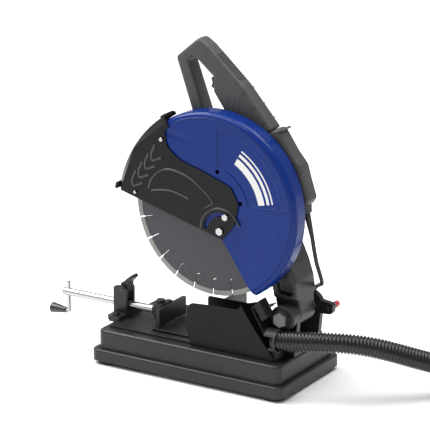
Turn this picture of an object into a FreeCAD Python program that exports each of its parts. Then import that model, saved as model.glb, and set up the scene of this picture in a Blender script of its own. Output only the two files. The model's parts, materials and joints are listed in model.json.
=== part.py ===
"""Abrasive chop saw with a dust hood, a quick-action vise and an extraction hose.

Millimetres, +Z up.  While the pieces are made, the origin is on the floor under the middle of
the base: -Y is the operator's end, +Y the hinge end and +X the blade side.  The last step moves
every piece so that the origin is at the middle of the saw's own box.
"""
import FreeCAD
import Part
import math
import os
from FreeCAD import Vector as V

os.makedirs("parts", exist_ok=True)

# ---- driving dimensions -------------------------------------------------------------------
base_length = 438.0          # along Y, at the flange
base_width = 238.0           # along X, at the flange
base_top = 71.0              # height of the table
base_wall = 4.0
flange_height = 24.0         # height of the wider skirt round the foot of the base
top_inset = 10.0             # the table is this much smaller on each side
foot_height = 8.0
foot_radius = 25.0
bed_thickness = 4.0
blade_radius = 175.0
blade_x = 64.0               # plane of the blade
blade_y = 37.0               # spindle axis with the arm up
blade_lift = 104.0           # from the table to the blade's lowest point, with the arm up
core_thickness = 2.4
segment_thickness = 3.2
segment_height = 10.0
segment_count = 24
flange_radius = 40.0
spindle_radius = 10.0
guard_gap = 15.0             # from the blade's tips to the guard's rim
guard_rise = 4.0             # the guard's centre is this much above the spindle
guard_behind = 19.0          # from the blade to the guard's back
guard_before = 18.0          # from the blade to the guard's face
guard_wall = 2.5
guard_rounding = 12.0
pivot_y = 187.0              # hinge of the arm
pivot_z = 150.0
pivot_bolt_radius = 8.0
ear_radius = 26.0
ear_near = 57.0              # outer face of the near ear
ear_far = -60.0              # outer face of the far ear
arm_lowered = 31.0           # degrees from rest to the bottom of the cut
gear_module = 1.5
wheel_teeth = 57
pinion_teeth = 11
motor_radius = 55.0
motor_end = -118.0           # far end of the motor
handle_x = 19.0              # middle plane of the handle
handle_width = 38.0
hood_near = 91.0             # outer face of the hood's near plate
hood_far = 38.0              # outer face of the hood's far plate
sheet = 2.0                  # thickness of the hood's sheet steel
hose_radius = 20.0
cord_radius = 4.0
screw_radius = 8.0
screw_x = 16.0
screw_z = 99.0
jaw_width = 100.0
jaw_height = 36.0
clearance = 0.4              # between pieces that move past each other
running = 0.05               # radial clearance of a shaft in its bearing
bolt_radius = 4.0            # bolts that hold the fence, the bracket, the vise and the arm
bolt_across = 13.0
bolt_head = 5.5
foot_screw_radius = 2.6
foot_screw_grip = 14.0       # how far a foot's screw goes into the base
bed_front = -197.0           # ends and sides of the bed plate
bed_back = 120.0
bed_near = 85.0
bed_far = -100.0
fence_height = 57.0
fence_front = 2.0
fence_thickness = 12.0
fence_foot_depth = 34.0
fence_foot = 8.0             # thickness of the fence's foot

# ---- places worked out from them ----------------------------------------------------------
bed_top = base_top + bed_thickness
blade_z = base_top + blade_lift + blade_radius
half_length = base_length / 2
half_width = base_width / 2
guard_radius = blade_radius + guard_gap
guard_z = blade_z + guard_rise
guard_back = blade_x - guard_behind
guard_face = blade_x + guard_before
swing_y = blade_y + 27.0     # hinge of the front guard
swing_z = blade_z - 36.0
swing_radius = guard_radius + math.hypot(swing_y - blade_y, swing_z - guard_z) + 9.5
gear_distance = gear_module * (wheel_teeth + pinion_teeth) / 2
gear_angle = 119.0           # direction of the motor's axis from the spindle, degrees
motor_y = blade_y + gear_distance * math.cos(math.radians(gear_angle))
motor_z = blade_z + gear_distance * math.sin(math.radians(gear_angle))

nodes = {}
cord_nodes = ("hose_tube", "hose_coil", "hose_cuff", "cord_upper", "cord_lower", "cord_coil",
              "plug", "strain_relief")


# ---- shapes that many pieces share --------------------------------------------------------
def block(x0, x1, y0, y1, z0, z1):
    return Part.makeBox(x1 - x0, y1 - y0, z1 - z0, V(x0, y0, z0))


def rod_x(x0, x1, y, z, radius):
    return Part.makeCylinder(radius, x1 - x0, V(x0, y, z), V(1, 0, 0))


def rod_y(x, y0, y1, z, radius):
    return Part.makeCylinder(radius, y1 - y0, V(x, y0, z), V(0, 1, 0))


def rod_z(x, y, z0, z1, radius):
    return Part.makeCylinder(radius, z1 - z0, V(x, y, z0), V(0, 0, 1))


def ring_x(x0, x1, y, z, outer, inner):
    return rod_x(x0, x1, y, z, outer).cut(rod_x(x0 - 1, x1 + 1, y, z, inner))


def hexagon(centre, axis, across, height):
    """A hexagon bolt head or nut, across the flats, standing on centre along axis."""
    spin = FreeCAD.Rotation(V(0, 0, 1), axis)
    corners = [V(math.cos(math.radians(60 * i)), math.sin(math.radians(60 * i)), 0) for i in range(7)]
    reach = across / math.sqrt(3)
    wire = Part.makePolygon([centre + spin.multVec(c * reach) for c in corners])
    return Part.Face(wire).extrude(axis * height)


def outline(points, x):
    """A closed wire at x from (y, z) or (y, z, corner radius)."""
    places = [V(x, p[0], p[1]) for p in points]
    count = len(points)
    edges = []
    last = None
    first = None
    for i, point in enumerate(points):
        here = places[i]
        to_last = (places[i - 1] - here).normalize()
        to_next = (places[(i + 1) % count] - here).normalize()
        radius = point[2] if len(point) > 2 else 0.0
        if radius > 0:
            half = to_last.getAngle(to_next) / 2
            runs = (places[i - 1].distanceToPoint(here), places[(i + 1) % count].distanceToPoint(here))
            back = min(radius / math.tan(half), 0.48 * min(runs))
            radius = back * math.tan(half)
            start = here + to_last * back
            end = here + to_next * back
            middle = here + (to_last + to_next).normalize() * (radius / math.sin(half) - radius)
            arc = Part.Arc(start, middle, end).toShape()
        else:
            start = here
            end = here
            arc = None
        if last is not None and last.distanceToPoint(start) > 1e-6:
            edges.append(Part.LineSegment(last, start).toShape())
        if arc is not None:
            edges.append(arc)
        if first is None:
            first = start
        last = end
    edges.append(Part.LineSegment(last, first).toShape())
    return Part.Wire(edges)


def plate(points, x0, x1):
    return Part.Face(outline(points, x0)).extrude(V(x1 - x0, 0, 0))


def rounded_box(x0, x1, y0, y1, z0, z1, radius):
    """An upright box with its four standing corners rounded."""
    solid = block(x0, x1, y0, y1, z0, z1)
    standing = [e for e in solid.Edges if abs(e.Vertexes[0].Z - e.Vertexes[1].Z) > 1e-3]
    return solid.makeFillet(radius, standing)


def soften(solid, radius, wanted):
    """Round the edges for which wanted(edge) is true."""
    edges = [e for e in solid.Edges if wanted(e)]
    return solid.makeFillet(radius, edges)


def sector(inner, outer, x0, x1, centre_y, centre_z, start, end):
    """Part of a ring about an X axis, from start to end degrees, counted from +Y to +Z."""
    corners = [V(x0, centre_y + inner, centre_z), V(x0, centre_y + outer, centre_z),
               V(x1, centre_y + outer, centre_z), V(x1, centre_y + inner, centre_z)]
    face = Part.Face(Part.makePolygon(corners + corners[:1]))
    solid = face.revolve(V(0, centre_y, centre_z), V(1, 0, 0), end - start)
    solid.rotate(V(0, centre_y, centre_z), V(1, 0, 0), start)
    return solid


def gear(teeth, x0, x1, y, z, bore, first_tooth):
    """A spur gear with involute flanks and short, slack teeth."""
    pitch = gear_module * teeth / 2
    base = pitch * math.cos(math.radians(20))
    tip = pitch + 0.75 * gear_module
    root = pitch - 1.1 * gear_module
    slack = 0.12 * gear_module / pitch

    def involute(radius):
        turn = math.sqrt(max(radius * radius / base / base - 1, 0))
        return turn - math.atan(turn)

    half_pitch = math.pi / 2 / teeth - slack + involute(pitch)
    flank_foot = max(base, root)
    flank = [flank_foot + (tip - flank_foot) * i / 3 for i in range(4)]
    if root < flank_foot:
        flank = [root] + flank
    corners = []
    for tooth in range(teeth):
        middle = math.radians(first_tooth) + 2 * math.pi * tooth / teeth
        side = [(r, half_pitch - involute(r)) for r in flank]
        for r, half in side:
            corners.append((y + r * math.cos(middle - half), z + r * math.sin(middle - half)))
        for r, half in reversed(side):
            corners.append((y + r * math.cos(middle + half), z + r * math.sin(middle + half)))
    return plate(corners, x0, x1).cut(rod_x(x0 - 1, x1 + 1, y, z, bore))


def route_wire(name, points):
    """Straight runs joined by tangent arcs, each as large as its two runs allow."""
    places = [V(*p) for p in points]
    edges = []
    last = places[0]
    radii = []
    for before, here, after in zip(places, places[1:], places[2:]):
        to_last = before - here
        to_next = after - here
        short = min(to_last.Length, to_next.Length)
        to_last = to_last.normalize()
        to_next = to_next.normalize()
        half_turn = (math.pi - to_last.getAngle(to_next)) / 2
        back = 0.45 * short
        radius = back / math.tan(half_turn)
        radii.append(round(radius, 1))
        start = here + to_last * back
        end = here + to_next * back
        inside = radius / math.cos(half_turn) - radius
        middle = here + (to_last + to_next).normalize() * inside
        edges.append(Part.LineSegment(last, start).toShape())
        edges.append(Part.Arc(start, middle, end).toShape())
        last = end
    edges.append(Part.LineSegment(last, places[-1]).toShape())
    print(name, "bend radii", radii)
    return Part.Wire(edges)


def tube_along(name, points, radius):
    wire = route_wire(name, points)
    heading = wire.Edges[0].tangentAt(wire.Edges[0].FirstParameter)
    circle = Part.Wire(Part.makeCircle(radius, V(*points[0]), heading))
    solid = wire.makePipeShell([circle], True, False)
    print(name, "length", round(wire.Length, 1), "volume ratio",
          round(solid.Volume / (math.pi * radius * radius * wire.Length), 4))
    return solid


def bolt_down(x, y, top):
    """The shank of a bolt from under the table up to top, and the bolt with its head."""
    shank = rod_z(x, y, base_top - base_wall, top, bolt_radius)
    return shank, shank.fuse(hexagon(V(x, y, top), V(0, 0, 1), bolt_across, bolt_head))


# ---- base ---------------------------------------------------------------------------------
def make_base():
    """A hollow casting with a stepped skirt, open below, and a slot for the blade."""
    corner = 16.0
    top_half_length = half_length - top_inset
    top_half_width = half_width - top_inset
    ledge = foot_height + flange_height
    skirt = rounded_box(-half_width, half_width, -half_length, half_length, foot_height, ledge, corner)
    upper = rounded_box(-top_half_width, top_half_width, -top_half_length, top_half_length,
                        foot_height, base_top, corner)
    hollow_low = rounded_box(-half_width + base_wall, half_width - base_wall, -half_length + base_wall,
                             half_length - base_wall, foot_height - 1, ledge - base_wall, corner)
    hollow_high = rounded_box(-top_half_width + base_wall, top_half_width - base_wall,
                              -top_half_length + base_wall, top_half_length - base_wall,
                              foot_height - 1, base_top - base_wall, corner)
    casting = upper.fuse(skirt).removeSplitter()
    casting = soften(casting, 6.0, lambda e: e.BoundBox.ZMin > base_top - 0.1)
    casting = soften(casting, 4.0, lambda e: abs(e.BoundBox.ZMin - ledge) < 0.1
                     and abs(e.BoundBox.ZMax - ledge) < 0.1
                     and max(abs(e.BoundBox.XMax), abs(e.BoundBox.YMax),
                             abs(e.BoundBox.XMin), abs(e.BoundBox.YMin)) > top_half_width + 1
                     and e.BoundBox.DiagonalLength > 1
                     and not inside_upper(e, top_half_width, top_half_length))
    casting = casting.cut(hollow_low).cut(hollow_high)
    casting = casting.cut(blade_slot(8.0))
    seats = []
    screws = []
    feet = []
    for x in (-1, 1):
        for y in (-1, 1):
            at_x = x * (half_width - foot_radius - 2)
            at_y = y * (half_length - foot_radius - 4)
            seats.append(rod_z(at_x, at_y, foot_height, base_top - base_wall, 9.0))
            foot = Part.makeCone(foot_radius - 3, foot_radius, foot_height, V(at_x, at_y, 0))
            feet.append(foot.cut(rod_z(at_x, at_y, 2.0, foot_height + 1, foot_screw_radius)))
            screws.append(rod_z(at_x, at_y, 2.0, foot_height + foot_screw_grip, foot_screw_radius))
    for seat, screw in zip(seats, screws):
        casting = casting.fuse(seat).cut(screw)
    nodes["base_casting"] = casting.removeSplitter()
    nodes["rubber_feet"] = Part.makeCompound(feet)
    nodes["foot_screws"] = Part.makeCompound(screws)


def inside_upper(edge, x_half, y_half):
    box = edge.BoundBox
    return box.XMax < x_half + 0.5 and box.XMin > -x_half - 0.5 and box.YMax < y_half + 0.5 \
        and box.YMin > -y_half - 0.5


def lowered(y, z):
    """Where a point of the arm is at the bottom of the cut."""
    turn = math.radians(arm_lowered)
    dy = y - pivot_y
    dz = z - pivot_z
    return (pivot_y + dy * math.cos(turn) - dz * math.sin(turn),
            pivot_z + dy * math.sin(turn) + dz * math.cos(turn))


def blade_slot(half_gap):
    """The space for the blade through the table, as long as the lowered blade needs."""
    low_y, low_z = lowered(blade_y, blade_z)
    reach = math.sqrt((blade_radius + 3) ** 2 - (low_z - bed_top) ** 2) + 6
    return rounded_box(blade_x - half_gap, blade_x + half_gap, low_y - reach, low_y + reach,
                       base_top - base_wall - 2, bed_top + 1, half_gap - 0.5)


def make_bed():
    """The ground steel plate that the work lies on, with the fence and its bolts."""
    bed = rounded_box(bed_far, bed_near, bed_front, bed_back, base_top, bed_top, 6.0).cut(blade_slot(6.0))
    fence_back = fence_front + fence_thickness
    fence_end = hood_far - 2
    foot_top = bed_top + fence_foot
    foot_back = fence_back + fence_foot_depth
    fence = block(bed_far, fence_end, fence_front, fence_back, bed_top, bed_top + fence_height)
    fence = fence.fuse(block(bed_far, fence_end, fence_back, foot_back, bed_top, foot_top))
    for x in (-60.0, 0.0):
        rib = plate([(fence_back, foot_top), (foot_back - 2, foot_top), (fence_back, foot_top + 36)],
                    x - 4, x + 4)
        fence = fence.fuse(rib)
    fence = fence.removeSplitter()
    bolts = []
    for x in (-82.0, -30.0, 22.0):
        shank, bolt = bolt_down(x, fence_back + 20, foot_top)
        bolts.append(bolt)
        fence = fence.cut(shank)
        bed = bed.cut(shank)
        nodes["base_casting"] = nodes["base_casting"].cut(shank)
    nodes["fence"] = fence
    nodes["fence_bolts"] = Part.makeCompound(bolts)
    nodes["bed_plate"] = bed


# ---- dust hood ----------------------------------------------------------------------------
port_y = 178.0
port_x = blade_x + 8.0
port_top = 129.0             # the hose leaves under the hinge bolt, whatever its size
port_z = port_top - hose_radius


def make_hood():
    """Two upright plates either side of the blade, a sloping back, a flap and the hose port."""
    foot = bed_top
    floor = base_top
    near = plate([(0, floor), (-11, 105, 10), (-7, 158, 16), (36, 161, 20), (104, 163, 4), (114, 173),
                  (141, 135, 6), (186, 78), (184, floor)], hood_near - sheet, hood_near)
    nodes["hood_near_plate"] = near
    nodes["hood_far_plate"] = plate([(16, foot), (16, 132), (8, 140), (8, 160, 5), (100, 161, 4),
                                     (136, 172), (141, 160), (184, 90), (184, foot)],
                                    hood_far, hood_far + sheet)
    inner0 = hood_far + sheet
    inner1 = hood_near - sheet
    back = plate([(135, 172), (137.5, 173), (190, 86), (190, floor), (187.5, floor), (187.5, 84)],
                 inner0, inner1)
    collar_outer = hose_radius + 3.5
    collar_inner = hose_radius + 0.5
    back = back.cut(rod_y(port_x, 120, 220, port_z, collar_outer).cut(block(inner1, 200, 0, 300, 0, 300)))
    nodes["hood_back"] = back
    collar = rod_y(port_x, port_y - 14, port_y + 12, port_z, collar_outer)
    collar = collar.cut(rod_y(port_x, port_y - 15, port_y + 13, port_z, collar_inner))
    nodes["hose_port"] = collar.cut(block(hood_near - sheet, 200, 0, port_y + 8, 0, 300))
    flap = plate([(139, 176), (151, 189), (170, 158), (158, 148)], ear_near + 3, inner1 - 3)
    flap = flap.cut(plate([(135, 173), (137.5, 174), (190, 86), (120, 86)], inner0, inner1))
    nodes["hood_flap"] = flap
    middle = (ear_near + inner1) / 2
    screw = Part.makeCylinder(3.0, 16.0, V(middle, 160.5, 173.5), V(0, 0.86, 0.51))
    wing = block(-9, 9, -1.5, 1.5, 0, 7)
    wing.rotate(V(0, 0, 0), V(1, 0, 0), -59)
    wing.translate(V(middle, 171, 179.6))
    nodes["hood_wing_screw"] = screw.fuse(wing)
    nodes["hood_flap"] = nodes["hood_flap"].cut(screw)
    screws = []
    for y in (40.0, 160.0):
        tab = block(inner1 - 13, inner1, y - 8, y + 8, base_top, base_top + sheet)
        screw = rod_z(inner1 - 7, y, base_top - base_wall, base_top + sheet, 2.5)
        screws.append(screw.fuse(rod_z(inner1 - 7, y, base_top + sheet, base_top + sheet + 3, 4.5)))
        nodes["hood_near_plate"] = nodes["hood_near_plate"].fuse(tab).removeSplitter().cut(screw)
        nodes["bed_plate"] = nodes["bed_plate"].cut(block(inner1 - 14, 120, y - 9, y + 9, base_top, bed_top))
        nodes["base_casting"] = nodes["base_casting"].cut(screw)
    nodes["hood_screws"] = Part.makeCompound(screws)


# ---- hinge of the arm ---------------------------------------------------------------------
hub_near = 29.0
hub_far = -30.0


def make_hinge():
    """The bracket on the base, its bolt, nut and washers, the return spring and the stop."""
    inner_near = 31.0
    inner_far = -48.0
    web_near = 44.0
    foot_top = base_top + 12
    foot_front = pivot_y - 48
    foot_back = pivot_y + 20
    foot = rounded_box(ear_far - 18, web_near, foot_front, foot_back, base_top, foot_top, 8.0)
    foot = foot.cut(block(hood_far - 1, 100, 0, 191, 0, 400))
    sides = [(pivot_y - 22, foot_top - 2), (pivot_y - ear_radius, pivot_z), (pivot_y + ear_radius, pivot_z),
             (pivot_y + 20, foot_top - 2)]
    near_web = plate([(191.5, foot_top - 12), (191.5, pivot_z), (pivot_y + ear_radius, pivot_z),
                      (pivot_y + 20, foot_top - 12)], inner_near, web_near)
    near_inner = plate(sides, inner_near, hood_far - 1)
    near_ear = rod_x(inner_near, ear_near, pivot_y, pivot_z, ear_radius)
    far_ear = plate(sides, ear_far, inner_far)
    far_ear = far_ear.fuse(rod_x(ear_far, inner_far, pivot_y, pivot_z, ear_radius + 2))
    lug = plate([(pivot_y + 20, pivot_z - 16), (pivot_y + 52, pivot_z - 14, 8),
                 (pivot_y + 52, pivot_z + 8, 8),
                 (pivot_y + 20, pivot_z + 12)], ear_far, inner_far)
    bracket = foot.fuse([near_web, near_inner, near_ear, far_ear, lug]).removeSplitter()
    bracket = bracket.cut(rod_x(ear_far - 1, ear_near + 1, pivot_y, pivot_z, pivot_bolt_radius))
    pin_y = pivot_y + 42
    pin_z = pivot_z - 3
    pin_radius = 3.0
    bracket = bracket.cut(rod_x(ear_far - 1, inner_far + 1, pin_y, pin_z, pin_radius + running))
    bolts = []
    for x, y in ((ear_far - 9, foot_front + 10), (ear_far - 9, foot_back - 10), (10.0, foot_front + 10)):
        shank, bolt = bolt_down(x, y, foot_top)
        bolts.append(bolt)
        bracket = bracket.cut(shank)
        nodes["base_casting"] = nodes["base_casting"].cut(shank)
    stop_x = -12.0
    stop_y = pivot_y - 38
    stop_radius = 5.0
    stop_top = pivot_z - 14
    stop = rod_z(stop_x, stop_y, base_top + 1, stop_top, stop_radius)
    stop = stop.fuse(hexagon(V(stop_x, stop_y, stop_top), V(0, 0, 1), 15.0, 7.0))
    bracket = bracket.cut(rod_z(stop_x, stop_y, base_top - 1, foot_top + 1, stop_radius))
    nodes["stop_bolt"] = stop
    nodes["stop_nut"] = hexagon(V(stop_x, stop_y, foot_top), V(0, 0, 1), 16.0, 7.0).cut(stop)
    nodes["hinge_bracket"] = bracket
    nodes["hose_port"] = nodes["hose_port"].cut(rod_x(0, ear_near + clearance, pivot_y, pivot_z,
                                                      ear_radius + clearance))
    nodes["bracket_bolts"] = Part.makeCompound(bolts)
    shank = rod_x(ear_far - 12, ear_near + 3, pivot_y, pivot_z, pivot_bolt_radius)
    head = hexagon(V(ear_near + 3, pivot_y, pivot_z), V(1, 0, 0), 27.0, 10.0)
    nodes["hinge_bolt"] = shank.fuse(head)
    washers = [ring_x(ear_near, ear_near + 3, pivot_y, pivot_z, 17.0, pivot_bolt_radius),
               ring_x(ear_far - 2.5, ear_far, pivot_y, pivot_z, 15.0, pivot_bolt_radius)]
    nodes["hinge_washers"] = Part.makeCompound(washers)
    nut = hexagon(V(ear_far - 12, pivot_y, pivot_z), V(1, 0, 0), 24.0, 9.5)
    nodes["hinge_nut"] = nut.cut(rod_x(ear_far - 13, ear_far, pivot_y, pivot_z, pivot_bolt_radius))
    wire_radius = 1.8
    turns = 3
    pitch = 4.4
    helix = Part.makeHelix(pitch, pitch * turns, 15.0)
    circle = Part.Wire(Part.makeCircle(wire_radius, V(15, 0, 0), V(0, 1, 0)))
    spring = Part.Wire(helix).makePipeShell([circle], True, True)
    spring.rotate(V(0, 0, 0), V(0, 1, 0), -90)
    spring.translate(V(inner_far + 2.4 + pitch * turns, pivot_y, pivot_z))
    nodes["return_spring"] = spring
    knob = rod_x(ear_far - 26, ear_far - 14, pin_y, pin_z, 6.5)
    pin = rod_x(ear_far - 14, inner_far - 0.5, pin_y, pin_z, pin_radius)
    nodes["lock_pin"] = pin.fuse(rod_x(ear_far - 14, ear_far - 11, pin_y, pin_z, 5.0))
    nodes["lock_pin_knob"] = soften(knob, 2.0, lambda e: e.Closed)


# ---- vise ---------------------------------------------------------------------------------
block_front = -220.0
block_back = -190.0
lever_y = block_front + 17.0
lever_z = 131.0
jaw_pin_y = -117.0
crank_y = -345.0


def make_vise_block():
    """The guide that the screw runs through, its feet and the half-nut's lever."""
    cheek = 6.0
    half = 16.5
    top = 142.0
    low = bed_top
    foot_thickness = 9.0
    body = plate([(block_front, low), (block_front, top - 4, 5), (block_back - 8, top, 6),
                  (block_back, top - 8, 5), (block_back, low)], screw_x - half, screw_x + half)
    foot = rounded_box(screw_x - 42, screw_x + 42, block_front + 1, block_back + 2, low,
                       low + foot_thickness, 4.0)
    body = body.fuse(foot).removeSplitter()
    body = body.cut(block(screw_x - half + cheek, screw_x + half - cheek, block_front + 7, block_back + 3,
                          screw_z + 5, top + 1))
    body = body.cut(block(screw_x - half + cheek, screw_x + half - cheek, block_front - 1, block_back,
                          lever_z - 3,
                          top + 1))
    body = body.cut(rod_y(screw_x, block_front - 1, block_back + 3, screw_z, screw_radius + clearance))
    pivot = rod_x(screw_x - half, screw_x + half, lever_y, lever_z, 3.0)
    body = body.cut(pivot)
    bolts = []
    for x in (screw_x - 32, screw_x + 32):
        y = (block_front + block_back) / 2
        shank, bolt = bolt_down(x, y, low + foot_thickness)
        bolts.append(bolt)
        body = body.cut(shank)
        nodes["base_casting"] = nodes["base_casting"].cut(shank)
        nodes["bed_plate"] = nodes["bed_plate"].cut(shank)
    riser = block(screw_x - 40, screw_x + 40, block_front + 4, bed_front, base_top, low)
    nodes["vise_block"] = body.fuse(riser.cut(Part.makeCompound(bolts))).removeSplitter()
    nodes["vise_block_bolts"] = Part.makeCompound(bolts)
    nodes["lever_pin"] = pivot
    side = half - cheek - clearance
    swing_room = 1.4             # the nose clears the screw all through its swing
    nut_low = screw_z + screw_radius + swing_room
    lever = plate([(lever_y - 7, lever_z - 6, 4), (lever_y - 5, lever_z + 8, 5),
                   (lever_y + 10, lever_z + 24, 8),
                   (lever_y + 22, lever_z + 34, 2), (lever_y + 27, lever_z + 29, 2),
                   (lever_y + 15, lever_z + 16, 6),
                   (lever_y + 12, lever_z - 4, 4), (lever_y + 7, nut_low), (lever_y - 6, nut_low)],
                  screw_x - side, screw_x + side)
    nodes["half_nut_lever"] = lever.cut(rod_x(screw_x - 20, screw_x + 20, lever_y, lever_z, 3.0 + running))


def make_vise_screw():
    """The screw with its crank, and the swivelling jaw that it pushes."""
    eye = 11.5
    eye_half = 8.0
    nose = 4.0
    screw_end = jaw_pin_y - eye - 5
    screw = rod_y(screw_x, crank_y - 8, screw_end, screw_z, screw_radius)
    screw = soften(screw, 1.5, lambda e: e.Closed and e.BoundBox.YMax < crank_y - 7)
    screw = screw.fuse(rod_y(screw_x, screw_end, screw_end + 11, screw_z, nose))
    crank_low = screw_z - 41
    screw = screw.cut(rod_z(screw_x, crank_y + 4, crank_low, screw_z + 23, 4.0))
    nodes["vise_screw"] = screw
    handle_end = crank_y - 2
    crank = rod_z(screw_x, crank_y + 4, crank_low, screw_z + 22, 4.0)
    crank = crank.fuse(Part.makeSphere(4.0, V(screw_x, crank_y + 4, crank_low)))
    crank = crank.fuse(rod_y(screw_x, crank_y - 38, crank_y + 4, crank_low, 3.0))
    nodes["crank_rod"] = crank
    knob = Part.makeCone(11.5, 6.0, 36.0, V(screw_x, crank_y - 39, crank_low), V(0, 1, 0))
    knob = soften(knob, 3.0, lambda e: e.Closed and e.BoundBox.YMax < crank_y - 38)
    nodes["crank_knob"] = knob.cut(rod_y(screw_x, crank_y - 38.5, handle_end + 5, crank_low, 3.0 + running))
    carrier = rod_z(screw_x, jaw_pin_y, screw_z - eye_half, screw_z + eye_half, eye)
    carrier = carrier.fuse(block(screw_x - 9, screw_x + 9, screw_end + 0.4, jaw_pin_y, screw_z - eye_half,
                                 screw_z + eye_half))
    carrier = carrier.cut(rod_z(screw_x, jaw_pin_y, 0, 200, 5.0))
    carrier = carrier.cut(rod_y(screw_x, screw_end - 1, screw_end + 11.4, screw_z, nose + running))
    nodes["jaw_carrier"] = carrier
    jaw_low = bed_top + 4
    pin = rod_z(screw_x, jaw_pin_y, jaw_low + 2, jaw_low + jaw_height + 3.4, 5.0)
    nodes["jaw_pin"] = pin.fuse(rod_z(screw_x, jaw_pin_y, jaw_low + jaw_height + 3.4,
                                      jaw_low + jaw_height + 8, 9.0))
    jaw_back = jaw_pin_y + eye + 1
    jaw = block(screw_x - 12 - jaw_width / 2, screw_x - 12 + jaw_width / 2, jaw_back, jaw_back + 8,
                jaw_low, jaw_low + jaw_height)
    for web_low, web_high in ((jaw_low + 4, screw_z - eye_half - clearance),
                              (screw_z + eye_half + clearance, jaw_low + jaw_height + 3)):
        web = rod_z(screw_x, jaw_pin_y, web_low, web_high, 14.0)
        web = web.fuse(block(screw_x - 22, screw_x + 22, jaw_pin_y + 2, jaw_back + 1, web_low, web_high))
        jaw = jaw.fuse(web)
    jaw = jaw.removeSplitter()
    nodes["jaw_plate"] = jaw.cut(rod_z(screw_x, jaw_pin_y, 0, 200, 5.0 + running))


# ---- blade, spindle and motor -------------------------------------------------------------
def make_blade():
    """A slotted steel core with brazed diamond segments, clamped between two flanges."""
    core_radius = blade_radius - segment_height
    half = core_thickness / 2
    core = rod_x(blade_x - half, blade_x + half, blade_y, blade_z, core_radius)
    core = core.cut(rod_x(blade_x - 5, blade_x + 5, blade_y, blade_z, spindle_radius))
    pitch = 360.0 / segment_count
    first_gap = -75.5
    gap_width = 3.0              # between two segments
    cut_width = 1.0              # of the slot in the core, with a hook at its inner end
    cut_depth = 20.0
    cut_end = core_radius - cut_depth
    hook = block(blade_x - 5, blade_x + 5, 0, 8.0, -cut_width / 2, cut_width / 2)
    hook.rotate(V(0, 0, 0), V(1, 0, 0), 125)
    hook.translate(V(0, cut_end, 0))
    slot = block(blade_x - 5, blade_x + 5, cut_end, core_radius + 20, -cut_width / 2, cut_width / 2)
    slot = slot.fuse(hook)
    mouth = block(blade_x - 5, blade_x + 5, core_radius - 2.5, core_radius + 20, -gap_width / 2,
                  gap_width / 2)
    slot = slot.fuse(mouth)
    slot.translate(V(0, blade_y, blade_z))
    centre = V(0, blade_y, blade_z)
    slots = []
    segments = []
    gap_angle = math.degrees(gap_width / 2 / core_radius)
    half = segment_thickness / 2
    for i in range(segment_count):
        at = first_gap + pitch * i
        copy = slot.copy()
        copy.rotate(centre, V(1, 0, 0), at)
        slots.append(copy)
        segments.append(sector(core_radius, blade_radius, blade_x - half, blade_x + half, blade_y, blade_z,
                               at + gap_angle, at + pitch - gap_angle))
    nodes["blade_core"] = core.cut(Part.makeCompound(slots))
    nodes["blade_segments"] = Part.makeCompound(segments)


shaft_back = 8.0             # back end of the spindle
wheel_x0 = 22.0
wheel_x1 = 34.0


def make_spindle():
    half = core_thickness / 2
    flange_thick = 6.0
    back = blade_x - half
    front = blade_x + half
    shoulder = spindle_radius + 4
    shaft = rod_x(shaft_back, front + flange_thick - 1, blade_y, blade_z, spindle_radius)
    collar = ring_x(wheel_x1, back - flange_thick, blade_y, blade_z, shoulder, spindle_radius - 1)
    shaft = shaft.fuse(collar)
    bolt = rod_x(front - 16, front + flange_thick + 2, blade_y, blade_z, 5.0)
    shaft = shaft.cut(bolt)
    nodes["spindle_shaft"] = shaft
    inner = ring_x(back - flange_thick, back, blade_y, blade_z, flange_radius, spindle_radius)
    outer = ring_x(front, front + flange_thick - 1, blade_y, blade_z, flange_radius, spindle_radius)
    outer = soften(outer, 2.0, lambda e: e.Closed and e.BoundBox.XMin > front + 4 and e.BoundBox.YLength > 50)
    nodes["inner_flange"] = inner
    nodes["outer_flange"] = outer
    washer = ring_x(front + flange_thick - 1, front + flange_thick + 1, blade_y, blade_z, 14.0, 5.0)
    head = hexagon(V(front + flange_thick + 1, blade_y, blade_z), V(1, 0, 0), 17.0, 7.0)
    nodes["arbor_bolt"] = bolt.fuse([head, washer])
    nodes["drive_gear"] = gear(wheel_teeth, wheel_x0, wheel_x1, blade_y, blade_z, spindle_radius, gear_angle)
    bearings = [ring_x(shaft_back + 2, wheel_x0 - 2, blade_y, blade_z, 20.0, spindle_radius + running)]
    bearings.append(ring_x(wheel_x1 + 2, guard_back - 2, blade_y, blade_z, 24.0, shoulder + running))
    nodes["spindle_bearings"] = Part.makeCompound(bearings)


housing_back = 4.0
housing_face = guard_back - 2.0


def make_gear_housing():
    """The casting that holds both gears and carries the guard, the motor and the handle."""
    body = plate([(blade_y + 20, blade_z - 56, 30), (blade_y - 62, blade_z - 44, 40), (-62, motor_z + 10, 30),
                  (-20, 494, 8), (112, 494, 8), (116, 462, 10), (118, 380, 20),
                  (blade_y + 66, blade_z - 30, 30)],
                 housing_back, housing_face)
    wheel = rod_x(wheel_x0 - 2, wheel_x1 + 2, blade_y, blade_z, gear_module * wheel_teeth / 2 + 4)
    pinion = rod_x(wheel_x0 - 2, wheel_x1 + 2, motor_y, motor_z, gear_module * pinion_teeth / 2 + 4)
    body = body.cut(wheel).cut(pinion)
    body = body.cut(rod_x(shaft_back - 1, wheel_x0, blade_y, blade_z, 20.0))
    body = body.cut(rod_x(wheel_x1, housing_face + 1, blade_y, blade_z, 24.0))
    body = body.cut(rod_x(housing_back - 1, wheel_x0, motor_y, motor_z, 13.0))
    body = body.cut(rod_x(wheel_x1, wheel_x1 + 6, motor_y, motor_z, 9.0))
    nodes["gear_housing"] = body


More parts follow.
